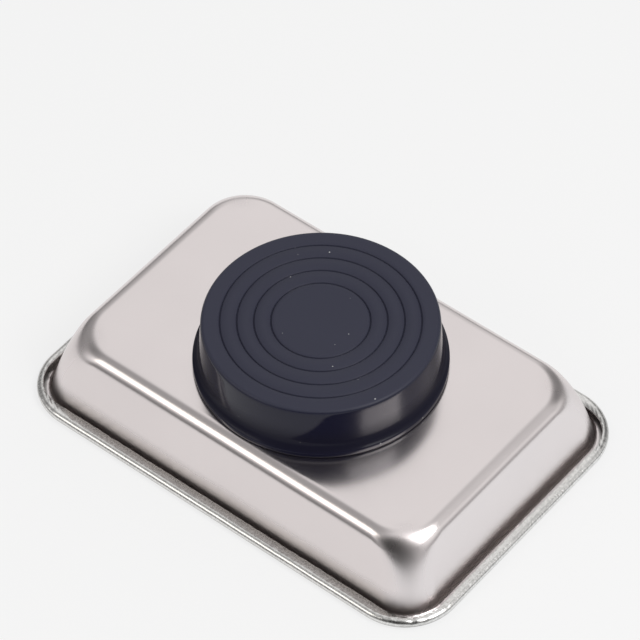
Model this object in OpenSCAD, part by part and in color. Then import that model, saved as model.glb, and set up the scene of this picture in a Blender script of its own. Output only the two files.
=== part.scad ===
// Magnetic parts tray: a drawn steel pan with a rubber-booted ring magnet under its floor.
// It lies upside down on its rolled rim, with the magnet foot on top. Millimetres, +Z up,
// origin at the middle of the rim plane.

/* [Tray] */
// Overall length over the rolled rim
tray_l = 150; // [130:1:240]
// Overall width over the rolled rim
tray_w = 104; // [98:1:180]
// Height of the tray from the rim plane to the outside of its floor
tray_h = 23.5; // [16:0.5:45]
// Thickness of the steel sheet
sheet_t = 0.6; // [0.4:0.1:1.0]
// Lean of the walls from the vertical, in degrees
wall_draft = 10.5; // [5:0.5:16]
// Corner radius of the walls, the same from floor to rim
wall_corner_r = 14.5; // [10:0.5:20]
// Outside radius of the bend between floor and wall
floor_bend_r = 5; // [2.5:0.5:7]
// Radius of the hollow where the wall turns out into the rim
foot_bend_r = 1.5; // [0.8:0.1:2]

/* [Rolled rim] */
// Width of the rim along the long sides, from its outer edge to the foot of the wall
rim_long_w = 6.8; // [6:0.1:9]
// Width of the rim along the short sides
rim_short_w = 6.0; // [5.6:0.1:9]
// Corner radius of the rim's outer edge
rim_corner_r = 17.7; // [14:0.1:24]
// Outside radius of the curled edge
curl_r = 2.05; // [1.6:0.05:2.4]
// Flat lip that returns from the top of the curl to the raw edge, along the long sides
curl_lip_long = 1.9; // [0.6:0.1:2.2]
// The same lip along the short sides
curl_lip_short = 0.9; // [0.6:0.1:1.8]

/* [Magnet] */
// Diameter of the ring magnet
magnet_d = 65; // [50:1:68]
// Bore of the ring magnet
magnet_bore = 32; // [26:0.5:38]
// Thickness of the ring magnet
magnet_t = 10; // [8.5:0.5:16]
// Chamfer on the edges of the ring magnet
magnet_chamfer = 1.0; // [0.8:0.1:1.5]

/* [Base plate and pad] */
// Thickness of the steel plate behind the magnet
plate_t = 2.0; // [1.5:0.1:3]
// How far the plate stands out past the magnet
plate_ledge = 1.5; // [1:0.1:2]
// Chamfer on the edge of the plate
plate_chamfer = 0.3; // [0.1:0.1:0.5]
// Thickness of the adhesive foam pad, the stud's head and the boot's lip
pad_t = 1.0; // [0.8:0.1:2]
// Inner diameter of the foam pad
pad_bore = 22; // [18:0.5:30]

/* [Boot] */
// Thickness of the boot's wall at its face
boot_wall = 1.7; // [1.2:0.1:3]
// Thickness of the boot's face
boot_face_t = 3.0; // [2:0.1:5]
// Lean of the boot's wall from the vertical, in degrees
boot_draft = 4; // [2:0.5:6]
// Radius of the boot's edge round its face
boot_edge_r = 1.0; // [0.5:0.1:1.5]
// Height of the flange at the boot's foot
flange_h = 2.3; // [2:0.1:2.9]
// How far the flange stands out past the wall above it
flange_out = 1.7; // [1.5:0.1:4]
// Radius of the flange's two edges and of the hollow above it
flange_edge_r = 0.7; // [0.3:0.1:0.8]
// How far the boot's lip reaches in under the plate
lip_grip = 4.0; // [2.5:0.1:6]
// Number of grip grooves in the face
groove_count = 4; // [2:1:5]
// Distance from the rim of the face in to the outermost groove
groove_land = 5.5; // [4:0.1:6.5]
// Distance from one groove to the next
groove_pitch = 4.9; // [3:0.1:4.9]
// Width of a groove
groove_w = 0.6; // [0.4:0.1:1]
// Depth of a groove
groove_depth = 0.5; // [0.2:0.1:0.8]

/* [Retainer cup] */
// Thickness of the cup's sheet
cup_t = 1.0; // [0.8:0.1:1.2]
// Inner radius of the cup's bends
cup_bend_r = 0.8; // [0.5:0.1:0.8]
// Width of the cup's rim on the magnet
cup_rim_w = 5.5; // [3:0.1:8]

/* [Stud, washer and nut] */
// Diameter of the weld stud's thread
stud_d = 6; // [5:0.5:6]
// Diameter of the stud's welded head
stud_head_d = 14; // [10:0.5:16]
// How far the stud stands past the nut
stud_proud = 1.0; // [0.4:0.1:1.4]
// Chamfer on the end of the stud
stud_chamfer = 0.6; // [0.3:0.1:0.9]
// Outer diameter of the spring washer
washer_d = 11.8; // [10:0.1:14]
// Thickness of the spring washer
washer_t = 1.6; // [1:0.1:1.8]
// Gap in the spring washer
washer_gap = 1.2; // [0.6:0.1:2]
// Width of the nut across its flats
nut_af = 10; // [9:0.5:11]
// Height of the nut
nut_h = 5; // [4:0.1:5.4]
// Diameter of the flat on each end of the nut
nut_flat_d = 9.5; // [8:0.1:9.5]

/* [Clearances] */
// Gap round a piece that sits in another
fit_gap = 0.3; // [0.2:0.05:0.4]
// Gap round the foam pad
pad_gap = 0.5; // [0.3:0.1:1]

/* [Hidden] */
$fn = 96;

// Steps along the bends and corners of the pan, and along the small rounded edges
corner_steps = 10;
bend_steps = 6;
foot_steps = 4;
curl_steps = 10;
edge_steps = 5;

// Angle that a bend turns through between a level face and a leaning wall
bend_turn = 90 - wall_draft;
// Length of the level face that a bend of unit radius takes up
bend_reach_share = tan(bend_turn / 2);
// How far the wall leans out between the floor and the rim
wall_run = (tray_h - sheet_t) * tan(wall_draft);

// Centre lines of the three bends, each as [length, width, corner radius]
foot_reach = foot_bend_r * bend_reach_share;
foot_line = [tray_l - 2 * rim_short_w + 2 * foot_reach,
             tray_w - 2 * rim_long_w + 2 * foot_reach,
             wall_corner_r + foot_reach];
floor_inset = wall_run + floor_bend_r * bend_reach_share;
floor_line = [tray_l - 2 * rim_short_w - 2 * floor_inset,
              tray_w - 2 * rim_long_w - 2 * floor_inset,
              wall_corner_r - floor_bend_r * bend_reach_share];
curl_line = [tray_l - 2 * curl_r, tray_w - 2 * curl_r, rim_corner_r - curl_r];
// Line of the raw edge at the end of the curl
raw_edge_line = [curl_line[0] - 2 * curl_lip_short, curl_line[1] - 2 * curl_lip_long,
                 curl_line[2] - (curl_lip_short + curl_lip_long) / 2];

// Heights in the magnet foot, from the floor up
floor_z = tray_h;
plate_z = floor_z + pad_t;
magnet_z = plate_z + plate_t;
washer_z = magnet_z + cup_t;
nut_z = washer_z + washer_t;
stud_end_z = nut_z + nut_h + stud_proud;
cup_rim_z = magnet_z + magnet_t;
boot_roof_z = cup_rim_z + cup_t;
foot_z = boot_roof_z + boot_face_t;

// Radii in the magnet foot
stud_hole_r = stud_d / 2 + fit_gap;
plate_r = magnet_d / 2 + plate_ledge;
lip_r = plate_r - lip_grip;
cup_r = magnet_bore / 2 - fit_gap;
boot_bore_r = magnet_d / 2 + fit_gap;
boot_face_r = boot_bore_r + boot_wall;

// Points along an arc round centre c, from angle a0 to angle a1
function arc(c, r, a0, a1, steps) =
    [for (i = [0:steps]) let (a = a0 + (a1 - a0) * i / steps) c + r * [cos(a), sin(a)]];

// A station of the pan's section: a rounded rectangle set out from a centre line, at height z
function station(line, out, z) = [line[0] + 2 * out, line[1] + 2 * out, line[2] + out, z];

// Stations along a bend of radius r about a centre line, where angle 0 points out and 90 up
function bend(line, z, r, a0, a1, steps) =
    [for (p = arc([0, z], r, a0, a1, steps)) station(line, p[0], p[1])];

// The points of one station, corner by corner and counter-clockwise from above
function ring(s) =
    [for (corner = [0:3], i = [0:corner_steps])
        let (a = 90 * (corner + i / corner_steps),
             side = [corner == 0 || corner == 3 ? 1 : -1, corner < 2 ? 1 : -1],
             centre = [side[0] * (s[0] / 2 - s[2]), side[1] * (s[1] / 2 - s[2])])
        [centre[0] + s[2] * cos(a), centre[1] + s[2] * sin(a), s[3]]];

// A solid skinned over a row of stations, closed flat across the first and the last
module loft(stations) {
    n = len(ring(stations[0]));
    last = n * (len(stations) - 1);
    polyhedron(
        points = [for (s = stations) each ring(s)],
        faces = concat(
            [[for (j = [n - 1:-1:0]) j]],
            [for (i = [0:n:last - n], j = [0:n - 1])
                let (k = (j + 1) % n)
                each [[i + j, i + k, i + n + k], [i + j, i + n + k, i + n + j]]],
            [[for (j = [0:n - 1]) last + j]]));
}

// The drawn pan: floor, leaning walls, flat rim and an open curl that ends in a raw edge.
// The section runs out along the face that is seen here, round the raw edge and back inside.
module pan() {
    floor_c = tray_h - floor_bend_r;
    foot_c = sheet_t + foot_bend_r;
    color("#d6cfcd")
    loft(concat(
        bend(floor_line, floor_c, floor_bend_r, 90, wall_draft, bend_steps),
        bend(foot_line, foot_c, foot_bend_r, 180 + wall_draft, 270, foot_steps),
        bend(curl_line, curl_r, curl_r - sheet_t, -90, 90, curl_steps),
        [station(raw_edge_line, 0, 2 * curl_r - sheet_t), station(raw_edge_line, 0, 2 * curl_r)],
        bend(curl_line, curl_r, curl_r, 90, -90, curl_steps),
        bend(foot_line, foot_c, foot_bend_r + sheet_t, 270, 180 + wall_draft, foot_steps),
        bend(floor_line, floor_c, floor_bend_r - sheet_t, wall_draft, 90, bend_steps)));
}

// Stud with a flat head, welded by its head to the outside of the floor
module weld_stud() {
    stud_r = stud_d / 2;
    color("#b9bcc0")
    rotate_extrude()
    polygon([[0, floor_z], [stud_head_d / 2, floor_z], [stud_head_d / 2, plate_z],
             [stud_r, plate_z], [stud_r, stud_end_z - stud_chamfer],
             [stud_r - stud_chamfer, stud_end_z], [0, stud_end_z]]);
}

// A flat ring from radius r0 to radius r1, chamfered on all its edges
module chamfered_ring(r0, r1, z0, z1, c) {
    rotate_extrude()
    polygon([[r0 + c, z0], [r1 - c, z0], [r1, z0 + c], [r1, z1 - c],
             [r1 - c, z1], [r0 + c, z1], [r0, z1 - c], [r0, z0 + c]]);
}

// Foam ring that sticks the plate to the floor, inside the boot's lip
module mounting_pad() {
    color("#2b2b2d")
    translate([0, 0, floor_z])
    difference() {
        cylinder(r = lip_r - pad_gap, h = pad_t);
        translate([0, 0, -pad_t]) cylinder(d = pad_bore, h = 3 * pad_t);
    }
}

// Steel plate that closes the magnet's back and carries the boot by its edge
module base_plate() {
    color("#a7aaad")
    chamfered_ring(stud_hole_r, plate_r, plate_z, magnet_z, plate_chamfer);
}

// Ferrite ring magnet
module ring_magnet() {
    color("#38383b")
    chamfered_ring(magnet_bore / 2, magnet_d / 2, magnet_z, cup_rim_z, magnet_chamfer);
}

// Pressed cup that stands in the magnet's bore and clamps the magnet down by its rim
module retainer_cup() {
    outer_bend_r = cup_bend_r + cup_t;
    low_c = [cup_r - outer_bend_r, magnet_z + outer_bend_r];
    high_c = [cup_r + cup_bend_r, cup_rim_z - cup_bend_r];
    cup_rim_r = magnet_bore / 2 + cup_rim_w;
    color("#c9c6c0")
    rotate_extrude()
    polygon(concat(
        [[stud_hole_r, magnet_z]],
        arc(low_c, outer_bend_r, 270, 360, edge_steps),
        arc(high_c, cup_bend_r, 180, 90, edge_steps),
        [[cup_rim_r, cup_rim_z], [cup_rim_r, boot_roof_z]],
        arc(high_c, outer_bend_r, 90, 180, edge_steps),
        arc(low_c, cup_bend_r, 360, 270, edge_steps),
        [[stud_hole_r, washer_z]]));
}

// Split spring washer, clamped flat under the nut
module spring_washer() {
    washer_r = washer_d / 2;
    gap_angle = 2 * asin(washer_gap / washer_d);
    color("#8f9296")
    rotate([0, 0, gap_angle / 2])
    rotate_extrude(angle = 360 - gap_angle)
    polygon([[stud_hole_r, washer_z], [washer_r, washer_z], [washer_r, nut_z], [stud_hole_r, nut_z]]);
}

// Hexagon nut with chamfered corners
module hex_nut() {
    corner_r = nut_af / 2 / cos(30);
    flat_r = nut_flat_d / 2;
    slope_h = (corner_r - flat_r) * tan(30);
    color("#c2b98f")
    translate([0, 0, nut_z])
    difference() {
        intersection() {
            cylinder(r = corner_r, h = nut_h, $fn = 6);
            rotate_extrude()
            polygon([[0, 0], [flat_r, 0], [corner_r, slope_h], [corner_r, nut_h - slope_h],
                     [flat_r, nut_h], [0, nut_h]]);
        }
        translate([0, 0, -nut_h]) cylinder(r = stud_hole_r, h = 3 * nut_h);
    }
}

// Rubber boot: a grooved face and drafted wall over the magnet, and a flanged foot whose lip
// is tucked between the plate and the pan
module boot() {
    plate_groove_r = plate_r + fit_gap;
    flange_z = floor_z + flange_h;
    // Radius of the drafted wall at height z
    function wall_r(z) = boot_face_r + (foot_z - z) * tan(boot_draft);
    flange_c = wall_r(flange_z) + flange_out - flange_edge_r;
    edge_c = [wall_r(foot_z - boot_edge_r) - boot_edge_r / cos(boot_draft), foot_z - boot_edge_r];
    hollow_c = [wall_r(flange_z + flange_edge_r) + flange_edge_r / cos(boot_draft),
                flange_z + flange_edge_r];
    color("#403f4a")
    rotate_extrude()
    polygon(concat(
        [[lip_r, floor_z]],
        arc([flange_c, floor_z + flange_edge_r], flange_edge_r, 270, 360, edge_steps),
        arc([flange_c, flange_z - flange_edge_r], flange_edge_r, 0, 90, edge_steps),
        arc(hollow_c, flange_edge_r, 270, 180 + boot_draft, edge_steps),
        arc(edge_c, boot_edge_r, boot_draft, 90, edge_steps),
        [for (i = [0:groove_count - 1])
            let (r = boot_face_r - groove_land - i * groove_pitch)
            each [[r + groove_w / 2, foot_z], [r + groove_w / 4, foot_z - groove_depth],
                  [r - groove_w / 4, foot_z - groove_depth], [r - groove_w / 2, foot_z]]],
        [[0, foot_z], [0, boot_roof_z], [boot_bore_r, boot_roof_z], [boot_bore_r, magnet_z],
         [plate_groove_r, magnet_z], [plate_groove_r, plate_z], [lip_r, plate_z]]));
}

pan();
weld_stud();
mounting_pad();
base_plate();
ring_magnet();
retainer_cup();
spring_washer();
hex_nut();
boot();
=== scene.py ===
# %% [markdown]
# # A magnetic parts tray
# A small steel tray lies upside down on its rolled rim, so that the rubber-covered magnet under
# its floor shows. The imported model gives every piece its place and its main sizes. This lesson
# dresses it: fine surfaces for what is seen, threads for what is screwed, and a finish for each.

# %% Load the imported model
import math

import bpy
import numpy as np
from mathutils import Matrix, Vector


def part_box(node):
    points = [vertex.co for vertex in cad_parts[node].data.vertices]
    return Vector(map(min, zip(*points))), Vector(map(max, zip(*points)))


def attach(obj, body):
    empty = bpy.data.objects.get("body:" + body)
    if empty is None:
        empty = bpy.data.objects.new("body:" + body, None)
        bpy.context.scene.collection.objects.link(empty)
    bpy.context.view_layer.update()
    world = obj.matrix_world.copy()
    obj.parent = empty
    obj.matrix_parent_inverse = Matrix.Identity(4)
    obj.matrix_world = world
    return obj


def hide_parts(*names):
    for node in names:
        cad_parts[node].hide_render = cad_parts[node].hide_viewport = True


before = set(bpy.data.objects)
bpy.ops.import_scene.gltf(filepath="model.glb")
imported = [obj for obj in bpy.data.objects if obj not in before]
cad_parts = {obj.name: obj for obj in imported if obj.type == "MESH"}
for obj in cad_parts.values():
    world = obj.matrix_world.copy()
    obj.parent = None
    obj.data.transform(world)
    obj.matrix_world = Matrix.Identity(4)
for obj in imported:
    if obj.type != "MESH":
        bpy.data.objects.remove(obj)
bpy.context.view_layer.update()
MM = 0.001
print("nodes:", sorted(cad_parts))


# %% [markdown]
# ## One skin for every piece
# Every new surface here is a grid of points: a row is a ring round the piece, and the next row is
# one step further along its section. A single function can therefore skin them all. Rings run
# counter-clockwise seen from above, and the section starts on top and runs outwards, so that each
# face points out of the solid. A section that starts or ends on the axis gets a pole, which is
# one shared point with a fan of triangles, so no pinhole is left there.

# %% Turn a grid of points into a piece
def skin(name, grid, poles=(None, None), loop=False):
    """Skins a grid of shape (rows, columns, 3): face (i, j) joins points i,j - i+1,j - i+1,j+1 -
    i,j+1, columns wrap round, loop also joins the last row to the first, and a pole closes the
    first or the last row with a fan."""
    rows, columns = grid.shape[:2]
    number = np.arange(rows * columns).reshape(rows, columns)
    after = np.roll(number, -1, axis=0) if loop else number[1:]
    here = number if loop else number[:-1]
    quads = np.stack([here, after, np.roll(after, -1, 1), np.roll(here, -1, 1)], -1).reshape(-1, 4)
    points = grid.reshape(-1, 3)
    fans = []
    for pole, ring in zip(poles, (number[0], number[-1][::-1])):
        if pole is not None:
            middle = np.full(columns, len(points))
            points = np.vstack([points, pole])
            fans.append(np.stack([middle, ring, np.roll(ring, -1)], -1))
    corners = np.concatenate([quads.ravel()] + [fan.ravel() for fan in fans])
    sizes = np.concatenate([np.full(len(quads), 4)] + [np.full(len(fan), 3) for fan in fans])
    starts = np.concatenate([[0], np.cumsum(sizes)[:-1]])
    mesh = bpy.data.meshes.new(name)
    mesh.vertices.add(len(points))
    mesh.vertices.foreach_set("co", points.astype(np.float32).ravel())
    mesh.loops.add(len(corners))
    mesh.loops.foreach_set("vertex_index", corners.astype(np.int32))
    mesh.polygons.add(len(sizes))
    mesh.polygons.foreach_set("loop_start", starts.astype(np.int32))
    mesh.polygons.foreach_set("use_smooth", np.ones(len(sizes), bool))
    mesh.update(calc_edges=True)
    mesh.validate()
    piece = bpy.data.objects.new(name, mesh)
    bpy.context.scene.collection.objects.link(piece)
    print(f"{name}: {len(points)} points, {int((sizes - 2).sum())} triangles")
    return piece


def stands_for(piece, node):
    """Rides the piece on the one body of this part, in place of a node."""
    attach(piece, "root")
    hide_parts(node)


# %% [markdown]
# ## The drawn pan: the path round it
# The pan is pressed from one sheet. Seen from above every line of it is a rounded rectangle, so the
# path round the tray is found once: for each column, the corner centre that it belongs to, which
# slides along the straight sides, and the direction outwards. A hump, the square of the sine of
# twice that direction, says how close a column is to the middle of a corner. A ripple is a sum of
# sines with whole numbers of waves round the tray, so it closes on itself.

# %% Columns round the tray
pan_low, pan_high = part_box("pan")
LONGER, NARROWER = 0.4 * MM, 0.6 * MM  # how the photo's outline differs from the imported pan's
TRAY_L = pan_high.x - pan_low.x + LONGER
TRAY_W = pan_high.y - pan_low.y - NARROWER
TRAY_H = pan_high.z - pan_low.z
LONG_STEPS, SHORT_STEPS, CORNER_STEPS = 212, 128, 52


def rectangle_path():
    """Columns of a rounded rectangle, counter-clockwise: the x and y signs of the corner centre
    and the direction from it."""
    corners = np.array([(1, 1), (-1, 1), (-1, -1), (1, -1)])
    parts = []
    for k, steps in enumerate((LONG_STEPS, SHORT_STEPS, LONG_STEPS, SHORT_STEPS)):
        turn = np.pi / 2 * (k + np.arange(CORNER_STEPS) / CORNER_STEPS)
        share = np.arange(steps)[:, None] / steps
        centre = np.vstack([np.tile(corners[k], (CORNER_STEPS, 1)),
                            corners[k] * (1 - share) + corners[(k + 1) % 4] * share])
        angle = np.concatenate([turn, np.full(steps, np.pi / 2 * (k + 1))])
        parts.append(np.column_stack([centre, np.cos(angle), np.sin(angle)]))
    return np.concatenate(parts).T


side_x, side_y, toward_x, toward_y = rectangle_path()
hump = (2 * toward_x * toward_y) ** 2
COLUMNS = len(side_x)
round_share = np.arange(COLUMNS) / COLUMNS


def ripple(seed, fewest, most, count):
    """A closed ripple of unit size: a sum of count sines with whole wave numbers and random phases."""
    draw = np.random.default_rng(seed)
    waves = draw.integers(fewest, most, count)
    phase = draw.uniform(0, 2 * np.pi, count)
    total = np.sin(2 * np.pi * round_share[:, None] * waves + phase).sum(1)
    return total / total.std()


print("columns:", COLUMNS)


# %% [markdown]
# ## The drawn pan: its section
# In section the sheet runs across a flat floor, round a bend, down a leaning wall and round a tight
# foot into a flat gutter. There it curls up and laps back inwards to a raw edge. The lap is wide on
# the long sides and narrow at the corners, where the metal has to shrink. At the corners the bend
# under the floor is drawn out far down the wall, so two lengths are worked out here: how much of
# the floor and how much of the wall it takes there.

# %% Sizes of the section
SHEET = 0.6 * MM
DRAFT = 15
RIM_LONG, RIM_SHORT = 4.85 * MM, 4.5 * MM
RIM_CORNER_R, WALL_CORNER_R = 17.7 * MM, 12 * MM
FLOOR_BEND_R, FLOOR_CORNER_R, CORNER_SHARE = 5.5 * MM, 11.5 * MM, 0.94
FOOT_BEND_R = 1.4 * MM
CURL_H, CREST_IN = 3.0 * MM, 1.65 * MM
EDGE_LONG_IN, EDGE_SHORT_IN, EDGE_CORNER_IN = 4.15 * MM, 2.7 * MM, 2.1 * MM
DROP_LONG, DROP_SHORT, RAGGED = 0.3 * MM, -0.1 * MM, 0.045 * MM
EDGE_ROUND = 0.15 * MM
HOLLOW_Z = SHEET + FOOT_BEND_R
DIAGONAL = math.sqrt(2)

wall_line = (TRAY_L - 2 * RIM_SHORT, TRAY_W - 2 * RIM_LONG, WALL_CORNER_R)
rim_line = (TRAY_L, TRAY_W, RIM_CORNER_R)
lean = math.radians(DRAFT)
reach = math.tan(math.radians((90 - DRAFT) / 2))
wall_run = (TRAY_H - SHEET) * math.tan(lean)
foot_at = FOOT_BEND_R * reach
corner_in = ((DIAGONAL - 1) * (wall_run + FLOOR_CORNER_R - WALL_CORNER_R)
             + DIAGONAL * FLOOR_BEND_R * reach)
corner_down = CORNER_SHARE * ((TRAY_H - SHEET) / math.cos(lean) - foot_at)
print("at a corner the bend takes", round(corner_in / MM, 2), "mm of floor and",
      round(corner_down / MM, 2), "mm of wall")


# %% [markdown]
# ## The drawn pan: foot and rim
# Each point of the section is kept as four numbers: where the corner centre lies in x and y, how far
# out from it the point is, and its height. Straight runs are then plain averages of their two ends.
# The same functions serve both faces of the sheet, because each is told how deep under the outer
# face it runs.

# %% Arcs, the curl and its lap
def placed(line, out, height):
    """Rows of the section that lie out from a line of the tray, at a height, as the four numbers."""
    even = np.ones(np.shape(out)[:1] + (COLUMNS,))
    return np.stack([(line[0] / 2 - line[2]) * even, (line[1] / 2 - line[2]) * even,
                     (line[2] + out) * even, height * even], 2)


def bend(line, centre, height, radius, start, end, steps):
    """Part of the section on an arc: the point at angle a lies centre + radius * cos a outside the
    line and height + radius * sin a up."""
    turn = np.radians(np.linspace(start, end, steps)[:, None])
    return placed(line, centre + radius * np.cos(turn), height + radius * np.sin(turn))


def curl(depth, steps):
    """Part of the section on the curl's round, depth under its outer face: the outer half of an
    upright ellipse that rests on the bench and touches the tray's outline, from bench to crest."""
    turn = np.linspace(-np.pi / 2, np.pi / 2, steps)[:, None]
    return placed(rim_line, (CREST_IN - depth) * np.cos(turn) - CREST_IN,
                  (CURL_H / 2 - depth) * np.sin(turn) + CURL_H / 2)


ragged = RAGGED * ripple(31, 25, 170, 18)
edge_drop = DROP_LONG * toward_y ** 2 + DROP_SHORT * toward_x ** 2


def lap(share, depth, past=0):
    """Level rows of the curl's lap, at shares of the way from the crest to the raw edge and then a
    length past that: they droop on a parabola, and each has the corner radius that brings it to the
    lap's reach at the corners."""
    share = np.asarray(share)[:, None]
    past = past + share ** 2 * ragged
    short_in, long_in, at_corner = (CREST_IN + share * (edge_in - EDGE_ROUND - CREST_IN) + past
                                    for edge_in in (EDGE_SHORT_IN, EDGE_LONG_IN, EDGE_CORNER_IN))
    corner_r = RIM_CORNER_R + (at_corner - DIAGONAL * (short_in + long_in) / 2) / (DIAGONAL - 1)
    return placed((TRAY_L - 2 * short_in, TRAY_W - 2 * long_in, corner_r), 0 * share,
                  CURL_H - depth - edge_drop * share ** 2)


print("the raw edge drops", round(edge_drop.min() / MM, 2), "to", round(edge_drop.max() / MM, 2), "mm")


# %% [markdown]
# ## The drawn pan: bend and wall
# Along the sides the sheet turns on a plain arc and then leans outwards. In a corner the press draws
# the bend out, so the row of points there follows a parabola along the diagonal. A row is level, so
# all that a corner can change is the row's corner radius, and the parabola says what it must be.

# %% Rows from the floor down the wall
def wall_rows(depth, bend_steps, wall_steps):
    """Level rows from the floor round the bend and down the wall, depth under the outer face. Along
    the sides they lie on an arc and then on the leaning wall. Along a corner's diagonal they lie on a
    parabola that draws the bend out down the wall, so each row's corner radius is found from how far
    in it lies there: a square corner's diagonal, less the part that the rounding cuts off."""
    bend_r, slope, full_turn = FLOOR_BEND_R - depth, math.tan(lean), np.pi / 2 - lean
    turn = np.append(np.linspace(0, full_turn, bend_steps), np.full(wall_steps, full_turn))
    edge = (TRAY_H - depth - SHEET) * slope + depth / math.cos(lean)
    wall_drop = (TRAY_H - depth - HOLLOW_Z + (FOOT_BEND_R + depth) * math.sin(lean)
                 - bend_r * (1 - math.sin(lean)))
    share = np.append(np.zeros(bend_steps), np.arange(1, wall_steps + 1) / (wall_steps + 1))
    on_wall = wall_drop * share
    drop = bend_r * (1 - np.cos(turn)) + on_wall
    inset = edge + bend_r * (reach - np.sin(turn)) - on_wall * slope
    take_in, take_down = corner_in - depth * reach, corner_down - depth * reach
    t = np.minimum(np.sqrt(drop / take_down / math.cos(lean)), 1)
    drawn_out = edge - take_down * math.sin(lean) * t ** 2 + take_in * (1 - t) ** 2
    corner_inset = np.where(t < 1, drawn_out, edge - drop * slope)
    corner_r = WALL_CORNER_R + (corner_inset - DIAGONAL * inset) / (DIAGONAL - 1)
    line = (wall_line[0], wall_line[1], (corner_r + inset)[:, None])
    return placed(line, -inset[:, None], (TRAY_H - depth - drop)[:, None])


def between(first, last, steps):
    """The straight run from the end of one part to the start of the next, both ends left out."""
    share = np.linspace(0, 1, steps + 2)[1:-1, None, None]
    return first[-1] * (1 - share) + last[0] * share


def disc(ring, shares):
    """A flat floor inside a ring: the ring drawn in by shares, at the ring's height."""
    drawn_in = np.ones((len(shares), 1, 4))
    drawn_in[:, 0, :3] = np.array(shares)[:, None]
    return ring * drawn_in


BEND_ROWS, WALL_ROWS, INNER_BEND_ROWS, INNER_WALL_ROWS = 24, 14, 8, 4
wall_out = wall_rows(0, BEND_ROWS, WALL_ROWS)
wall_in = wall_rows(SHEET, INNER_BEND_ROWS, INNER_WALL_ROWS)[::-1]
print("wall rows outside and inside:", len(wall_out), len(wall_in))


# %% [markdown]
# ## The drawn pan: the whole chain
# Now the parts are put in order, from the middle of the floor outwards, round the raw edge and back
# on the other face. Each part keeps its name, so that later steps can mark the places where a press
# wrinkles the sheet or where shade is painted.

# %% Chain the parts
FLOOR_SHARES = [0.1, 0.3, 0.55, 0.7, 0.8, 0.88, 0.95]
FOOT_ROWS, INNER_FOOT_ROWS, LAP_ROWS, EDGE_ROWS = 16, 6, 14, 7
CURL_ROWS, INNER_CURL_ROWS, FLAT_ROWS, INNER_FLAT_ROWS = 26, 14, 2, 1

foot_top = bend(wall_line, foot_at, HOLLOW_Z, FOOT_BEND_R, 180 + DRAFT, 270, FOOT_ROWS)
foot_under = bend(wall_line, foot_at, HOLLOW_Z, SHEET + FOOT_BEND_R, 270, 180 + DRAFT, INNER_FOOT_ROWS)
lap_shares = np.linspace(0, 1, LAP_ROWS + 1)[1:]
curl_in = np.concatenate([curl(SHEET, INNER_CURL_ROWS), lap(lap_shares, SHEET)])
curl_out = np.concatenate([lap(lap_shares[::-1], 0), curl(0, CURL_ROWS)[::-1]])
edge_turn = np.linspace(-np.pi / 2, np.pi / 2, EDGE_ROWS + 2)[1:-1, None]
raw_edge = lap(np.ones(EDGE_ROWS), SHEET * (1 - np.sin(edge_turn)) / 2, EDGE_ROUND * np.cos(edge_turn))

section = {
    "floor": disc(wall_out[0], FLOOR_SHARES), "bend": wall_out[:BEND_ROWS], "wall": wall_out[BEND_ROWS:],
    "foot": foot_top, "flat": between(foot_top, curl_in, FLAT_ROWS), "curl inside": curl_in,
    "raw edge": raw_edge, "curl": curl_out,
    "flat under": between(curl_out, foot_under, INNER_FLAT_ROWS), "foot under": foot_under,
    "wall inside": wall_in, "floor inside": disc(wall_in[-1], FLOOR_SHARES[::-1]),
}
part_of = np.concatenate([[name] * len(part) for name, part in section.items()])
points = np.concatenate(list(section.values()))
print("rows:", {name: len(part) for name, part in section.items()})


# %% [markdown]
# ## The drawn pan: its ripples
# A pressing is never perfect. Where the rim is curled over, the metal at the corners has to shrink
# and gathers in small cross wrinkles, and the press leaves a faint ripple along the foot of the
# wall. On a shiny surface a few hundredths of a millimetre already break a reflection into dashes,
# so these belong in the mesh and not only in a bump. The floor waves a little too, outside the
# boot.

# %% Make the pan
WRINKLE, SWELL, WOBBLE = 0.02 * MM, 0.03 * MM, 0.03 * MM
FOOT_RIPPLE, FLOOR_WAVE = 0.025 * MM, 0.02 * MM
SIDE_WRINKLES, CORNER_WRINKLES = 0.5, 1.5
WRINKLED_Z = (1.2 * MM, 2.4 * MM)
WAVY_R, WAVY_DEEP = (40 * MM, 50 * MM), 4 * MM
WAVE_X, WAVE_Y, WAVE_SKEW, WAVE_START = 6.5 * MM, 5.3 * MM, 9.1 * MM, 1.0


def smooth_step(value, low, high):
    """0 below low, 1 above high, and 3t^2 - 2t^3 between them."""
    t = np.clip((value - low) / (high - low), 0, 1)
    return t * t * (3 - 2 * t)


def on(*parts):
    """A column that is 1 on the rows of these parts of the section."""
    return np.isin(part_of, parts)[:, None]


pan_grid = np.stack([side_x * points[..., 0] + toward_x * points[..., 2],
                     side_y * points[..., 1] + toward_y * points[..., 2], points[..., 3]], 2)
pan_x, pan_y, pan_z = np.moveaxis(pan_grid, 2, 0).copy()
on_rim = on("curl", "raw edge", "curl inside")
on_curl = on_rim * smooth_step(pan_z, *WRINKLED_Z)
on_foot = on("foot", "foot under")
on_floor = (smooth_step(np.hypot(pan_x, pan_y), *WAVY_R)
            * smooth_step(pan_z, TRAY_H - WAVY_DEEP, TRAY_H - SHEET))
wrinkles = (WRINKLE * (SIDE_WRINKLES + CORNER_WRINKLES * hump) * ripple(3, 90, 220, 16)
            + SWELL * ripple(8, 6, 40, 8))
foot_ripple = FOOT_RIPPLE * ripple(5, 70, 200, 14) * (0.5 + 0.5 * ripple(6, 3, 16, 5))
floor_wave = FLOOR_WAVE * (np.sin(pan_x / WAVE_X + WAVE_START) + np.sin(pan_y / WAVE_Y)
                           + np.sin((pan_x - pan_y) / WAVE_SKEW))
pan_grid[..., 2] += on_curl * wrinkles + on_foot * foot_ripple + on_floor * floor_wave
pan_grid[..., 0] -= on_rim * WOBBLE * (1 + ripple(11, 4, 24, 8) / 3) * toward_x
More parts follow.
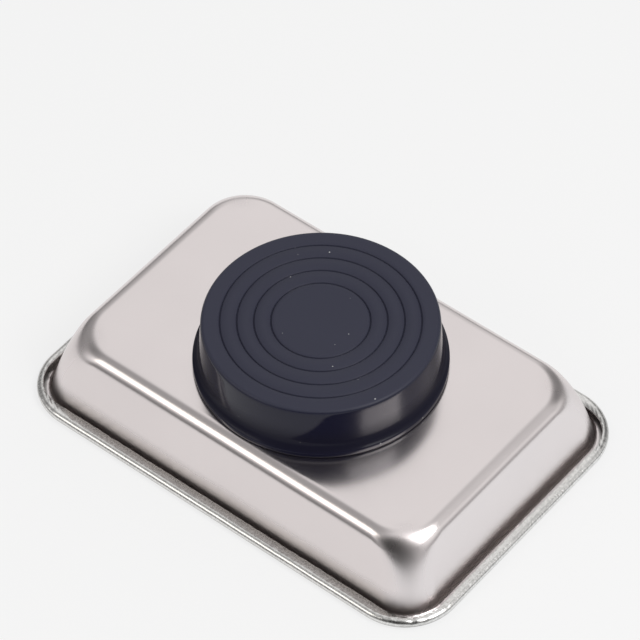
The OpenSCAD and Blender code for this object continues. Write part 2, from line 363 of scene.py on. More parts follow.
pan_grid[..., 1] -= on_rim * WOBBLE * (1 + ripple(12, 4, 24, 8) / 3) * toward_y
pan_grid[..., 2] = np.maximum(pan_grid[..., 2], 0)
pan_piece = skin("drawn_pan", pan_grid, poles=((0, 0, TRAY_H), (0, 0, TRAY_H - SHEET)))
stands_for(pan_piece, "pan")


# %% [markdown]
# ## The drawn pan: where shade is painted, where it is scuffed and stretched
# Three marks are stored on the points for the steel's material to read. The painted shade mark says
# where the colour is darkened to stand in for shade: in the slot under the lap, in the gutter at the
# corners, low on the long walls and on the inner edge of the long laps, and in two thin dark lines
# painted round the outside of the rim as reflections. Rolled says where the tool scuffed the sheet,
# and stretched where the corners were drawn thin.

# %% Mark the steel
# Amounts of painted shade: how far each place is darkened to stand in for shade.
SLOT_SHADE, SLOT_CORNER_MORE, SLOT_LONG_LESS = 0.5, 0.25, 0.3
GUTTER_CORNER_SHADE, WALL_FOOT_SHADE, LAP_EDGE_SHADE = 0.6, 0.6, 0.25
FOOT_SHADE_Z, WALL_UNSHADED_Z = (0.5 * MM, 1.6 * MM), (1.8 * MM, 9.0 * MM)
LAP_EDGE_IN = (2.6 * MM, 3.3 * MM)
# Two dark lines painted round the outer face of the curl as reflections.
RIM_REFLECTION_LINES = ((0.55, 1.0 * MM, 0.35 * MM), (0.45, 2.35 * MM, 0.16 * MM))  # amount, height, half width
OUTER_CREST, SLOT_SCUFF = 0.7, 0.8

long_side = toward_y ** 2
low_on_wall = smooth_step(pan_z, *FOOT_SHADE_Z) * (1 - smooth_step(pan_z, *WALL_UNSHADED_Z))
outside = on("curl") * smooth_step(points[..., 2], RIM_CORNER_R - CREST_IN,
                                   RIM_CORNER_R - OUTER_CREST * CREST_IN)
# Painted shade in the slot, in the gutter at the corners, low on the long walls and at the lap's inner edge.
painted_shade = (on("curl inside") * (SLOT_SHADE + SLOT_CORNER_MORE * hump - SLOT_LONG_LESS * long_side)
          + GUTTER_CORNER_SHADE * on("flat") * hump
          + WALL_FOOT_SHADE * on("wall", "foot") * long_side * low_on_wall
          + LAP_EDGE_SHADE * on("curl") * long_side * smooth_step(TRAY_W / 2 - np.abs(pan_y), *LAP_EDGE_IN))
# Painted reflections: two thin dark lines round the outside of the curl.
for amount, line_z, half_width in RIM_REFLECTION_LINES:
    painted_shade += amount * outside * np.exp(-((pan_z - line_z) / half_width) ** 2)
rolled = (on("curl", "raw edge") * np.ones(COLUMNS)
          + SLOT_SCUFF * on("flat", "curl inside") * (1 - long_side))
stretched = on("bend", "wall") * hump ** 2

for name, values in (("painted_shade", painted_shade), ("rolled", rolled), ("stretched", stretched)):
    mark = pan_piece.data.attributes.new(name, "FLOAT", "POINT")
    mark.data.foreach_set("value", np.append(values.ravel(), [0, 0]).astype(np.float32))
print("points in the crease:", int((painted_shade > 0.5).sum()))


# %% [markdown]
# ## The rubber boot: a lathe
# The boot is moulded, so it is round about one axis and a single section describes it. The section is
# written once as radius and height and carried round a circle, which is the classic lathe surface.
# Sections are made of arcs and straight runs, and a moulded corner is never quite sharp, so one
# helper breaks corners.

# %% Carry a section round the axis
ROUND_STEPS = 288


def lathe(radius, height, steps=ROUND_STEPS):
    """The surface (r cos a, r sin a, z), with r and z from the section and a round the axis."""
    turn = 2 * np.pi * np.arange(steps) / steps
    radius, height = np.asarray(radius)[:, None], np.asarray(height)[:, None]
    return np.stack([radius * np.cos(turn), radius * np.sin(turn),
                     np.broadcast_to(height, (len(height), steps))], 2)


def arc(centre, radius, start, end, steps):
    """Points of a section on an arc, as rows of radius and height."""
    turn = np.radians(np.linspace(start, end, steps))
    return np.stack([centre[0] + radius * np.cos(turn), centre[1] + radius * np.sin(turn)], 1)


def run(first, last, steps):
    """Evenly spaced points of a section on a straight run, both ends left out."""
    share = np.linspace(0, 1, steps + 2)[1:-1, None]
    return np.asarray(first) * (1 - share) + np.asarray(last) * share


def soften(points, size):
    """Breaks each corner of a section into two points that lie size away from it on its two sides."""
    points = np.asarray(points, float)
    back, ahead = points[:-2] - points[1:-1], points[2:] - points[1:-1]
    back /= np.linalg.norm(back, axis=1)[:, None]
    ahead /= np.linalg.norm(ahead, axis=1)[:, None]
    broken = np.stack([points[1:-1] + size * back, points[1:-1] + size * ahead], 1).reshape(-1, 2)
    return np.vstack([points[:1], broken, points[-1:]])


print("a lathe of 2 rows has", lathe([1, 2], [0, 0]).shape, "points")


# %% [markdown]
# ## The rubber boot: its sizes
# The boot fits round the magnet and its lip grips the plate inside, so most of its sizes follow from
# those pieces. The wall leans a little so that the boot leaves its mould. At its foot it flares out
# into a beaded flange. The flare's radius is worked out so that the arc leaves the wall and meets
# the bead without a kink.

# %% Sizes of the boot
boot_low, boot_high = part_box("boot")
plate_low, plate_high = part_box("base_plate")
cup_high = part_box("retainer_cup")[1]
magnet_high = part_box("ring_magnet")[1]
FLOOR_Z, FACE_Z, ROOF_Z = boot_low.z, boot_high.z, cup_high.z
FIT, FACE_WALL, LIP_GRIP = 0.3 * MM, 1.7 * MM, 4.0 * MM
BOOT_DRAFT, BOOT_EDGE_R, FLANGE_EDGE_R = 4.0, 1.2 * MM, 0.7 * MM
FLANGE_H, FLANGE_OUT, FLARE_END = 2.3 * MM, 1.7 * MM, 52.0
FLANGE_Z = FLOOR_Z + FLANGE_H
BORE_R = magnet_high.x + FIT
FACE_R = BORE_R + FACE_WALL
LIP_R = plate_high.x - LIP_GRIP
boot_lean = math.tan(math.radians(BOOT_DRAFT))


def boot_wall_r(z):
    """Radius of the leaning wall at height z."""
    return FACE_R + (FACE_Z - z) * boot_lean


edge_c = (boot_wall_r(FACE_Z - BOOT_EDGE_R) - BOOT_EDGE_R / math.cos(math.radians(BOOT_DRAFT)),
          FACE_Z - BOOT_EDGE_R)
flange_c = boot_wall_r(FLANGE_Z) + FLANGE_OUT - FLANGE_EDGE_R
start_turn, end_turn = math.radians(BOOT_DRAFT), math.radians(FLARE_END)
flare_end = (flange_c + FLANGE_EDGE_R * math.cos(end_turn),
             FLANGE_Z - FLANGE_EDGE_R * (1 - math.sin(end_turn)))
flare_r = (flare_end[0] - boot_wall_r(flare_end[1])) / (
    math.cos(start_turn) - math.cos(end_turn) - boot_lean * (math.sin(end_turn) - math.sin(start_turn)))
flare_c = (flare_end[0] + flare_r * math.cos(end_turn), flare_end[1] + flare_r * math.sin(end_turn))
print("the boot's foot flares with a radius of", round(flare_r / MM, 2), "mm")


# %% [markdown]
# ## The rubber boot: its section
# The face has four fine rings cut in it, each with the round bottom of a squared cosine. It needs
# close points only there, and a few plain rings between. From the face the section goes over the
# rounded edge, down the wall, out along the flare, round the bead, and back inside over the lip,
# the plate's edge and the magnet to the roof.

# %% Make the boot
GROOVES, GROOVE_IN, GROOVE_PITCH = 4, 5.5 * MM, 4.9 * MM
GROOVE_W, GROOVE_DEEP, GROOVE_POINTS = 0.7 * MM, 0.45 * MM, 9
PLAIN_MIDDLE, PLAIN_BETWEEN, PLAIN_EDGE = (3 * MM, 13 * MM), 2.4 * MM, 30.5 * MM
PLAIN_RINGS, EDGE_GAP = 4, 0.3 * MM
EDGE_POINTS, WALL_POINTS, FLARE_POINTS, BEAD_POINTS = 10, 8, 12, 7
ROOF_R, INSIDE_BREAK = 2 * MM, 0.15 * MM

groove_rings = FACE_R - GROOVE_IN - GROOVE_PITCH * np.arange(GROOVES)
across = GROOVE_W * np.linspace(-0.5, 0.5, GROOVE_POINTS)
face_r = np.sort(np.concatenate([(groove_rings[:, None] + across).ravel(),
                                 np.linspace(*PLAIN_MIDDLE, PLAIN_RINGS), groove_rings[:-1] - PLAIN_BETWEEN,
                                 np.linspace(PLAIN_EDGE, edge_c[0] - EDGE_GAP, PLAIN_RINGS)]))
off_groove = np.abs(face_r[:, None] - groove_rings).min(1) / GROOVE_W
face_z = FACE_Z - GROOVE_DEEP * np.where(off_groove < 0.5, np.cos(np.pi * off_groove) ** 2, 0)
edge = arc(edge_c, BOOT_EDGE_R, 90, BOOT_DRAFT, EDGE_POINTS)
hollow = arc(flare_c, flare_r, 180 + BOOT_DRAFT, 180 + FLARE_END, FLARE_POINTS)
bead_top = arc((flange_c, FLANGE_Z - FLANGE_EDGE_R), FLANGE_EDGE_R, FLARE_END, 0, BEAD_POINTS)[1:]
bead_foot = arc((flange_c, FLOOR_Z + FLANGE_EDGE_R), FLANGE_EDGE_R, 0, -90, BEAD_POINTS)
inside = np.array([bead_foot[-1], (LIP_R, FLOOR_Z), (LIP_R, plate_low.z), (plate_high.x + FIT, plate_low.z),
                   (plate_high.x + FIT, plate_high.z), (BORE_R, plate_high.z), (BORE_R, ROOF_Z),
                   (ROOF_R, ROOF_Z)])
boot_section = np.concatenate([np.stack([face_r, face_z], 1), edge, run(edge[-1], hollow[0], WALL_POINTS),
                               hollow, bead_top, run(bead_top[-1], bead_foot[0], 2), bead_foot,
                               soften(inside, INSIDE_BREAK)[1:]])
boot_piece = skin("rubber_boot", lathe(*boot_section.T), poles=((0, 0, FACE_Z), (0, 0, ROOF_Z)))
stands_for(boot_piece, "boot")


# %% [markdown]
# ## The threads inside
# Under the boot a stud is welded to the floor, and a nut on it clamps the magnet. Nobody sees them
# until the boot is pulled off, but they are what holds the foot together. A thread is a lathe
# surface whose radius also depends on how far the helix has climbed: one turn lifts it by one
# pitch. The nut is cut with the same helix, a hair wider, so the two threads lie in each other.

# %% Make the stud
stud_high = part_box("weld_stud")[1]
PITCH, CREST_R, ROOT_R = 1.0 * MM, 2.96 * MM, 2.42 * MM
FLANK = (0.1, 0.9)
THREAD_STEPS, STUD_ROWS = 96, 130
TIP_H, TIP_R, THREAD_FROM = 0.6 * MM, ROOT_R - 0.15 * MM, plate_low.z + 0.2 * MM
HEAD_R, NECK_R, HEAD_MIDDLE_R, HEAD_BREAK = stud_high.x, CREST_R + 0.1 * MM, 1.0 * MM, 0.12 * MM
thread_turn = 2 * np.pi * np.arange(THREAD_STEPS) / THREAD_STEPS


def thread_r(z, turn):
    """Radius of the thread: a rounded saw between root and crest, in step with z - pitch * turn."""
    phase = z / PITCH - turn / (2 * np.pi)
    flank = np.abs(2 * (phase - np.floor(phase)) - 1)
    return ROOT_R + (CREST_R - ROOT_R) * smooth_step(flank, *FLANK)


def threaded(radius, height, turn):
    """A lathe surface whose radius is a whole grid."""
    return np.stack([radius * np.cos(turn), radius * np.sin(turn), np.broadcast_to(height, radius.shape)], 2)


stud_z = np.linspace(stud_high.z, THREAD_FROM, STUD_ROWS)[:, None]
tip = 1 - smooth_step(stud_z, stud_high.z - TIP_H, stud_high.z)
stud_r = np.minimum(thread_r(stud_z, thread_turn), TIP_R + (CREST_R - TIP_R) * tip)
head = soften([(NECK_R, plate_low.z), (HEAD_R, plate_low.z), (HEAD_R, FLOOR_Z), (HEAD_MIDDLE_R, FLOOR_Z)],
              HEAD_BREAK)
stud_grid = np.concatenate([threaded(stud_r, stud_z, thread_turn), lathe(*head.T, steps=THREAD_STEPS)])
stud_piece = skin("weld_stud_m6", stud_grid, poles=((0, 0, stud_high.z), (0, 0, FLOOR_Z)))
stands_for(stud_piece, "weld_stud")


# %% [markdown]
# ## The nut
# A nut is a hexagon whose corners are cut off by two cones, one at each end. So at each height its
# radius is the smaller of the hexagon's and the cone's. Its bore is the stud's thread with a small
# gap, and the last ring of the bore joins the first ring of the outside.

# %% Make the nut
nut_low, nut_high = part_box("hex_nut")
NUT_FLATS, NUT_FACE_R, NUT_CONE = 10.0 * MM, 4.75 * MM, 30
NUT_ENDS = np.array([0, 0.15, 0.4, 0.75, 1.2]) * MM
THREAD_GAP, BORE_ROWS = 0.07 * MM, 64
nut_z = np.concatenate([nut_high.z - NUT_ENDS, nut_low.z + NUT_ENDS[::-1]])[:, None]
to_end = np.minimum(nut_high.z - nut_z, nut_z - nut_low.z)
hexagon = NUT_FLATS / 2 / np.cos((thread_turn % (np.pi / 3)) - np.pi / 6)
nut_r = np.minimum(hexagon, NUT_FACE_R + to_end / math.tan(math.radians(NUT_CONE)))
bore_z = np.linspace(nut_low.z, nut_high.z, BORE_ROWS)[:, None]
bore_r = thread_r(bore_z, thread_turn) + THREAD_GAP
nut_grid = np.concatenate([threaded(nut_r, nut_z, thread_turn), threaded(bore_r, bore_z, thread_turn)])
nut_piece = skin("hex_nut_m6", nut_grid, loop=True)
stands_for(nut_piece, "hex_nut")


# %% [markdown]
# ## The foam ring
# A ring of sticky closed-cell foam keeps the plate from rattling on the floor. Squeezed between two
# flat faces it bulges at its free edges, so its section is flat above and below and round at the
# sides. It is the one soft piece of the part.

# %% Make the foam ring
foam_low, foam_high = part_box("mounting_pad")
FOAM_BORE_R, BULGE, BULGE_POINTS, FOAM_STEPS = 11.0 * MM, 0.25 * MM, 9, 128
foam_half, foam_mid = (foam_high.z - foam_low.z) / 2, (foam_high.z + foam_low.z) / 2
bulge_turn = np.radians(np.linspace(90, -90, BULGE_POINTS))
bulge_out, bulge_up = BULGE * (np.cos(bulge_turn) - 1), foam_half * np.sin(bulge_turn)
outer_edge = np.stack([foam_high.x + bulge_out, foam_mid + bulge_up], 1)
inner_edge = np.stack([FOAM_BORE_R - bulge_out, foam_mid - bulge_up], 1)
foam_section = np.concatenate([outer_edge, inner_edge])
foam_piece = skin("foam_ring", lathe(*foam_section.T, steps=FOAM_STEPS), loop=True)
stands_for(foam_piece, "mounting_pad")


# %% [markdown]
# ## Writing shader maths as Python
# A material is a small program drawn as nodes. Long chains of Math nodes are hard to read, so one
# class wraps a socket and lets Python's own signs add the nodes: 1 - mask makes a Subtract node.
# Every other node comes from one method, which sets the node's own settings first and then
# fills or links its sockets.

# %% A socket that can be added and multiplied
class Shade:
    """A value in a material's node tree. + - * on it add Math nodes to the same tree."""

    def __init__(self, tree, socket=None):
        self.tree, self.socket = tree, socket

    def node(self, kind, settings=None, sockets=None, out=0):
        """Adds a node: first its settings, then its sockets."""
        made = self.tree.nodes.new(kind)
        for key, value in (settings or {}).items():
            setattr(made, key, value)
        for key, value in (sockets or {}).items():
            if isinstance(value, Shade):
                self.tree.links.new(value.socket, made.inputs[key])
            else:
                made.inputs[key].default_value = value
        return Shade(self.tree, made.outputs[out])

    def math(self, operation, *terms):
        """Adds a Math node for an operation on these terms."""
        return self.node("ShaderNodeMath", {"operation": operation}, dict(enumerate(terms)))

    def __add__(self, other):
        return self.math("ADD", self, other)

    def __sub__(self, other):
        return self.math("SUBTRACT", self, other)

    def __rsub__(self, other):
        return self.math("SUBTRACT", other, self)

    def __mul__(self, other):
        return self.math("MULTIPLY", self, other)

    __radd__, __rmul__ = __add__, __mul__

    def rise(self, low, high):
        """0 below low, 1 above high, smooth between."""
        return self.node("ShaderNodeMapRange", {"interpolation_type": "SMOOTHSTEP"},
                         {"Value": self, "From Min": low, "From Max": high})

    def tint(self, low, high):
        """Mixes two colours by this value. Each is three numbers or the Shade of a colour."""
        low, high = (tone if isinstance(tone, Shade) else (*tone, 1.0) for tone in (low, high))
        return self.node("ShaderNodeMix", {"data_type": "RGBA"}, {0: self, 6: low, 7: high}, out=2)

    def bump(self, strength, distance):
        """A normal tilted by this value as a height."""
        return self.node("ShaderNodeBump", {}, {"Strength": strength, "Distance": distance, "Height": self})


print("signs that add nodes: + - *")


# %% [markdown]
# ## Starting and finishing a material
# Every material starts with the surface that Blender gives it and ends by filling that surface's
# sockets. Between lie values that vary over the piece: places, noise and stored marks. Where
# a second surface lies over the first, such as the painted shade low on the rubber's wall, the two are mixed
# by a share.

# %% Helpers for materials
def first_node(tree, kind):
    """The first node of a kind, which is the one that a new tree starts with."""
    return next(n for n in tree.nodes if n.type == kind)


def start_material(name):
    """A new material: the Shade to build on, and a function that sets the surface's sockets."""
    material = bpy.data.materials.new(name)
    material.use_nodes = True
    tree = material.node_tree
    surface = first_node(tree, "BSDF_PRINCIPLED")

    def finish(**sockets):
        """Fills or links sockets by name, with _ for a space, and gives the material back."""
        for key, value in sockets.items():
            socket = surface.inputs[key.replace("_", " ")]
            if isinstance(value, Shade):
                tree.links.new(value.socket, socket)
            else:
                socket.default_value = value
        return material

    return Shade(tree), finish


def lay_over(shade, share, upper):
    """Mixes a second surface over the material's own one, by a share, and makes that the result."""
    own = Shade(shade.tree, first_node(shade.tree, "BSDF_PRINCIPLED").outputs[0])
    mixed = shade.node("ShaderNodeMixShader", {}, {0: share, 1: own, 2: upper})
    shade.tree.links.new(mixed.socket, first_node(shade.tree, "OUTPUT_MATERIAL").inputs["Surface"])


def coordinates(shade):
    """Object coordinates in metres."""
    return shade.node("ShaderNodeTexCoord", out=3)


def along(place, axis):
    """One of the three coordinates of a place: 0 for x, 1 for y, 2 for z."""
    return place.node("ShaderNodeSeparateXYZ", {}, {0: place}, out=axis)


def noise(place, per_metre, detail=3.0, roughness=0.5):
    """Fractal noise with so many lumps to the metre."""
    return place.node("ShaderNodeTexNoise", {}, {"Vector": place, "Scale": per_metre, "Detail": detail,
                                                 "Roughness": roughness})


def stored(shade, name):
    """A mark that was stored on the points of the mesh."""
    return shade.node("ShaderNodeAttribute", {"attribute_name": name}, out="Fac")


def dress(piece, material):
    """Puts one material on a piece, in place of what it had."""
    piece.data.materials.clear()
    piece.data.materials.append(material)


print("shader helpers ready")


# %% [markdown]
# ## Drawn stainless steel
# The sheet is bright-rolled stainless, soft rather than mirror-like, and a little warm in colour. A
# metal has no colour of its own but its reflection, so the base colour is how much light it gives
# back. The press leaves the walls slightly dull in cloudy patches, and the curled rim is
# scuffed by its tooling in light and dark flecks. Where shade and dark reflections are painted, the colour
# is nearly black.

# %% Steel of the pan
STEEL_TONES = (0.81, 0.748, 0.742), (0.775, 0.716, 0.712)
SCUFF_TONES = (0.695, 0.683, 0.667), (0.865, 0.851, 0.832)
# Painted shade: the near-black tone, and how far the shade mark takes the colour towards it.
PAINTED_SHADE_TONE, PAINTED_SHADE_SHARE = (0.03, 0.028, 0.026), 0.9
SCUFFED = (0.36, 0.64)

shade, finish = start_material("drawn_stainless")
place = coordinates(shade)
clouds = noise(place, 38.0, 4.0, 0.55)
haze = noise(place, 260.0, 3.0, 0.6)
grain = noise(place, 5200.0, 2.0, 0.6)
scuff = noise(place, 1500.0, 3.0, 0.65).rise(*SCUFFED)
floor_top = along(place, 2).rise(TRAY_H - 4.5 * MM, TRAY_H - 0.5 * MM)
shade_paint, curled, pulled = (stored(shade, name) for name in ("painted_shade", "rolled", "stretched"))
# Every term is what its mark adds to the roughness of clean flat sheet, or takes from it.
rough = (0.19 + 0.07 * clouds + 0.04 * haze - 0.05 * floor_top + 0.25 * shade_paint
         + (0.09 * scuff - 0.065) * curled + 0.1 * pulled)
clean_steel = curled.tint(clouds.tint(*STEEL_TONES), scuff.tint(*SCUFF_TONES))
# Painted shade and painted dark reflections darken the clean steel by the shade mark.
steel = (shade_paint * PAINTED_SHADE_SHARE).tint(clean_steel, PAINTED_SHADE_TONE)
dress(pan_piece, finish(Base_Color=steel, Metallic=1.0, Roughness=rough,
                        Normal=(haze * 0.5 + grain * 0.5).bump(0.25, 0.02 * MM)))
# The places called dirty here carry painted shade, and the roughness rises there too.
print("steel: roughness about 0.2, and more where it is dirty or stretched")


# %% [markdown]
# ## Moulded rubber
# The boot is blue-black rubber. Its face is the satin of a blasted mould and its wall is polished, so
# roughness changes at the rounded edge, by height. The colour changes there too: the face is painted
# lighter as if lit, and the wall darker as if shaded. Low on the wall a darker, less shiny second
# surface is mixed over the first, again by height, as painted shade. Rubber draws dust, and a few pale
# specks sit on it.

# %% Rubber of the boot
# Painted light and shade: the face's tones are lighter, as if lit, and the wall's darker, as if shaded.
SATIN_LIT_TONES = (0.031, 0.032, 0.053), (0.035, 0.036, 0.059)
POLISHED_SHADED_TONES = (0.0085, 0.0085, 0.021), (0.0105, 0.0105, 0.025)
DUST_TONE, DUST_CELLS, DUST_SIZE = (0.55, 0.55, 0.55), 185.0, (0.03, 0.044)
# Painted shade low on the wall: a darker, less shiny surface, and where it starts and fades.
LOW_SHADE_TONE, LOW_SHADE_SHARE = (0.0095, 0.009, 0.018, 1.0), 0.85
FACE_FROM = (FACE_Z - 0.9 * MM, FACE_Z - 0.05 * MM)
LOW_SHADE_FOOT = (FLOOR_Z + 1.5 * MM, FLOOR_Z + 2.6 * MM)
LOW_SHADE_TOP = (FLOOR_Z + 3.5 * MM, FLOOR_Z + 11 * MM)

shade, finish = start_material("moulded_rubber")
place = coordinates(shade)
up = along(place, 2)
clouds = noise(place, 60.0, 3.0)
pores = noise(place, 2600.0, 2.0)
face = up.rise(*FACE_FROM)
cells = shade.node("ShaderNodeTexVoronoi", {"feature": "F1"}, {"Vector": place, "Scale": DUST_CELLS})
specks = 1 - cells.rise(*DUST_SIZE)
# Painted light and shade: the face gets the lighter tones and the wall the darker ones.
tone = face.tint(clouds.tint(*POLISHED_SHADED_TONES), clouds.tint(*SATIN_LIT_TONES))
dress(boot_piece, finish(Base_Color=specks.tint(tone, DUST_TONE), Specular_IOR_Level=0.26,
                         Roughness=0.06 + 0.38 * face + 0.05 * clouds + 0.4 * specks,
                         Normal=(pores * face).bump(0.3, 0.02 * MM)))
# Painted shade low on the wall: a darker, duller surface mixed over the rubber by height.
shaded_rubber = shade.node("ShaderNodeBsdfPrincipled", {}, {"Base Color": LOW_SHADE_TONE, "Roughness": 0.3,
                                                     "Specular IOR Level": 0.06})
painted_low_shade = (1 - up.rise(*LOW_SHADE_TOP)) * up.rise(*LOW_SHADE_FOOT)
lay_over(shade, painted_low_shade * LOW_SHADE_SHARE, shaded_rubber)
print("rubber: satin face, polished wall, dull film low down")


# %% [markdown]
# ## The finishes inside
# The pieces under the boot each have the finish that such a piece is bought with: zinc on the plate,
# a yellow passivate on the nut, dull spring steel, bare stainless, sintered ferrite and black
# foam. They share one recipe: a base colour that wanders between two tones, and a roughness and a
# fine bump from a finer noise.

# %% Plated, sintered and foamed pieces
FINER, FINE_BUMP = 14, 0.05 * MM


def plain_finish(name, low, high, per_metre, roughness, metal, bump):
    """A two-tone noise finish: colour from one noise, roughness and a small bump from a finer one."""
    shade, finish = start_material(name)
    place = coordinates(shade)
    patches = noise(place, per_metre, 4.0, 0.6)
    fine = noise(place, per_metre * FINER, 2.0, 0.6)
    return finish(Base_Color=patches.tint(low, high), Metallic=metal,
                  Roughness=roughness[0] + (roughness[1] - roughness[0]) * fine,
                  Normal=fine.bump(bump, FINE_BUMP))


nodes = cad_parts
finishes = (
    (nodes["base_plate"], "zinc_plate",
     (0.50, 0.52, 0.55), (0.62, 0.63, 0.65), 180.0, (0.25, 0.45), 1.0, 0.2),
    (nodes["ring_magnet"], "sintered_ferrite",
     (0.045, 0.045, 0.05), (0.075, 0.075, 0.08), 420.0, (0.55, 0.8), 0.0, 0.5),
    (nodes["retainer_cup"], "pressed_stainless",
     (0.60, 0.58, 0.55), (0.68, 0.66, 0.63), 150.0, (0.2, 0.35), 1.0, 0.15),
    (nodes["spring_washer"], "dull_spring_steel",
     (0.30, 0.31, 0.33), (0.40, 0.41, 0.43), 300.0, (0.35, 0.55), 1.0, 0.25),
    (stud_piece, "turned_steel",
     (0.58, 0.59, 0.61), (0.66, 0.67, 0.68), 260.0, (0.22, 0.38), 1.0, 0.2),
    (nut_piece, "yellow_zinc",
     (0.60, 0.53, 0.33), (0.56, 0.54, 0.42), 240.0, (0.25, 0.4), 1.0, 0.2),
    (foam_piece, "closed_cell_foam",
     (0.02, 0.02, 0.021), (0.04, 0.04, 0.041), 900.0, (0.8, 0.95), 0.0, 0.6),
)
for piece, *recipe in finishes:
    dress(piece, plain_finish(*recipe))
print("finishes:", len(finishes))


# %% [markdown]
# ## The camera
# The camera stands where the photograph's stood. A long lens from over a metre away gives the flat
# perspective of a product shot. Its direction is an azimuth, counted from the x axis, and an
# elevation, and a small roll levels the picture.

# %% Set up the camera
AZIMUTH, ELEVATION, ROLL = -50.89, 48.88, math.radians(-0.48)
AIM = np.array([-4.91, 5.71, 31.99]) * MM
DISTANCE, FOCAL_PIXELS, PICTURE = 1.23493, 4275.07, 640
SENSOR, NEAR, FAR = 36.0, 0.05, 20.0


def toward(azimuth, elevation):
    """The direction with this azimuth, from the x axis towards the y axis, and this elevation."""
    azimuth, elevation = math.radians(azimuth), math.radians(elevation)
    return np.array([math.cos(azimuth) * math.cos(elevation), math.sin(azimuth) * math.cos(elevation),
                     math.sin(elevation)])


def put(thing, axis_x, axis_y, axis_z, origin):
    """Links an object to the scene with these axes and this origin."""
    pose = np.eye(4)
    pose[:3] = np.stack([axis_x, axis_y, axis_z, origin], 1)
    thing.matrix_world = Matrix(pose.tolist())
    bpy.context.scene.collection.objects.link(thing)


away = toward(AZIMUTH, ELEVATION)
level, upright = toward(AZIMUTH + 90, 0), toward(AZIMUTH + 180, 90 - ELEVATION)
lens = bpy.data.cameras.new("camera")
lens.sensor_width = SENSOR
lens.lens = FOCAL_PIXELS / PICTURE * SENSOR
lens.clip_start, lens.clip_end = NEAR, FAR
camera = bpy.data.objects.new("camera", lens)
put(camera, level * math.cos(ROLL) + upright * math.sin(ROLL),
    upright * math.cos(ROLL) - level * math.sin(ROLL), away, AIM + DISTANCE * away)
bpy.context.scene.camera = camera
print("lens in mm:", round(lens.lens, 1))


# %% [markdown]
# ## Studio light
# Polished steel shows the room, so the room is what makes it look like steel. A soft window on
# the right gives the bright corner and the soft patch on the boot, and a softbox on the left draws the
# long highlight down the front bend. Both are area lamps aimed at the tray. They are set by
# direction, spread and brightness, and the watts follow.

# %% Hang the lamps
LAMP_DISTANCE = 1.0
WARM = (1.0, 0.97, 0.89)


def area_lamp(name, azimuth, elevation, wide, tall, brightness):
    """A rectangular lamp seen from the tray under the angles wide and tall, with a given radiance."""
    out, side = toward(azimuth, elevation), toward(azimuth + 90, 0)
    data = bpy.data.lights.new(name, "AREA")
    data.shape = "RECTANGLE"
    data.size = 2 * LAMP_DISTANCE * math.tan(math.radians(wide / 2))
    data.size_y = 2 * LAMP_DISTANCE * math.tan(math.radians(tall / 2))
    data.energy = brightness * math.pi * data.size * data.size_y
    lamp = bpy.data.objects.new(name, data)
    lamp.visible_camera = False
    put(lamp, side, np.cross(out, side), out, out * LAMP_DISTANCE)
    return data


window = area_lamp("window_right", azimuth=3, elevation=52, wide=28, tall=30, brightness=4.2)
softbox = area_lamp("softbox_left", azimuth=-120, elevation=41, wide=26, tall=20, brightness=1.4)
softbox.color = WARM
print("lamps in watts:", round(window.energy, 2), round(softbox.energy, 2))


# %% [markdown]
# ## The floor
# The floor is a plain pale sheet that keeps the tray's soft shadow. For the camera and for
# reflections most of it is an even pale tone, as in a catalogue picture. What the steel mirrors is a
# little darker than what the camera sees, and cooler on the right, where the photograph's short wall
# is cooler.

# %% Lay the floor
PALE, CAMERA_TONE, COOL_TONE = (0.888,) * 3, (0.945,) * 3, (0.95, 0.985, 1.0)
COOL_FROM = (45 * MM, 95 * MM)
FLOOR_HALF, FLOOR_SINK, EVEN_SHARE = 3.0, 0.02 * MM, 0.75
floor_mesh = bpy.data.meshes.new("floor")
floor_mesh.from_pydata([(x * FLOOR_HALF, y * FLOOR_HALF, -FLOOR_SINK)
                        for x, y in ((-1, -1), (1, -1), (1, 1), (-1, 1))], [], [(0, 1, 2, 3)])
floor = bpy.data.objects.new("floor", floor_mesh)
bpy.context.scene.collection.objects.link(floor)


def ray_is(shade, kind):
    """1 for rays of a kind: Camera, Glossy or Transmission."""
    return shade.node("ShaderNodeLightPath", out=f"Is {kind} Ray")


def seen_directly(shade):
    """1 for rays from the camera and for those that a mirror or glass sends on."""
    either = shade.math("MAXIMUM", ray_is(shade, "Camera"), ray_is(shade, "Glossy"))
    return shade.math("MAXIMUM", either, ray_is(shade, "Transmission"))


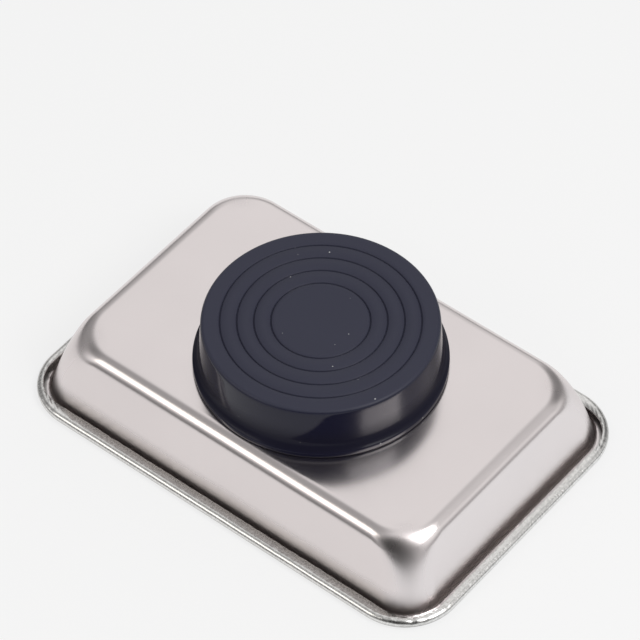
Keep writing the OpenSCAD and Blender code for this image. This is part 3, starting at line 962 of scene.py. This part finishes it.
shade, finish = start_material("pale_floor")
dress(floor, finish(Base_Color=(*PALE, 1.0), Roughness=0.9, Specular_IOR_Level=0.1))
mirrored = along(coordinates(shade), 0).rise(*COOL_FROM).tint(PALE, COOL_TONE)
even_tone = ray_is(shade, "Camera").tint(mirrored, CAMERA_TONE)
even = shade.node("ShaderNodeEmission", {}, {"Color": even_tone, "Strength": 1.0})
lay_over(shade, seen_directly(shade) * EVEN_SHARE, even)
print("floor tones for the steel and the camera:", PALE[0], CAMERA_TONE[0])


# %% [markdown]
# ## The room
# The room is pale too, with a grey band low down and soft dark patches in six directions, the largest
# behind the camera. They show only in reflections, as the darker lines and clouds that make steel and
# rubber look polished. The light that fills the shadows is an even grey.

# %% Paint the room
ROOM_TONE, ROOM_FILL = PALE[0], 0.62
LOW_BAND, LOW_BAND_DARK = (0.1, 0.4), 0.55
DARK_PATCHES = {  # how dark, azimuth, elevation, and the angles within which it is full and gone
    "behind the camera": (0.97, -58, 32, 18, 50),
    "left": (0.65, 176, 26, 14, 40),
    "back": (0.75, 88, 28, 10, 28),
    "front left, high": (0.55, -152, 60, 14, 30),
    "back right": (0.3, 56, 48, 16, 32),
    "front left, low": (0.6, -116, 10, 6, 20),
}
room = bpy.data.worlds.new("room")
bpy.context.scene.world = room
room.use_nodes = True
shade = Shade(room.node_tree)
direction = shade.node("ShaderNodeTexCoord", out=0)


def lobe(azimuth, elevation, inner, outer):
    """1 within inner degrees of a direction, 0 beyond outer degrees, smooth between."""
    centre = tuple(toward(azimuth, elevation))
    cosine = shade.node("ShaderNodeVectorMath", {"operation": "DOT_PRODUCT"},
                        {0: direction, 1: centre}, out=1)
    return cosine.rise(math.cos(math.radians(outer)), math.cos(math.radians(inner)))


seen = ROOM_TONE * (1 - LOW_BAND_DARK * (1 - along(direction, 2).rise(*LOW_BAND)))
for dark, *spot in DARK_PATCHES.values():
    seen = seen * (1 - dark * lobe(*spot))
camera_ray = ray_is(shade, "Camera")
other_ray = seen_directly(shade) - camera_ray
brightness = ROOM_FILL * (1 - camera_ray - other_ray) + ROOM_TONE * camera_ray + seen * other_ray
background = first_node(room.node_tree, "BACKGROUND")
background.inputs["Color"].default_value = (1.0, 1.0, 1.0, 1.0)
room.node_tree.links.new(brightness.socket, background.inputs["Strength"])
bpy.context.scene.view_settings.view_transform = "Standard"
print("room tone", ROOM_TONE, "fill", ROOM_FILL, "dark patches", len(DARK_PATCHES))
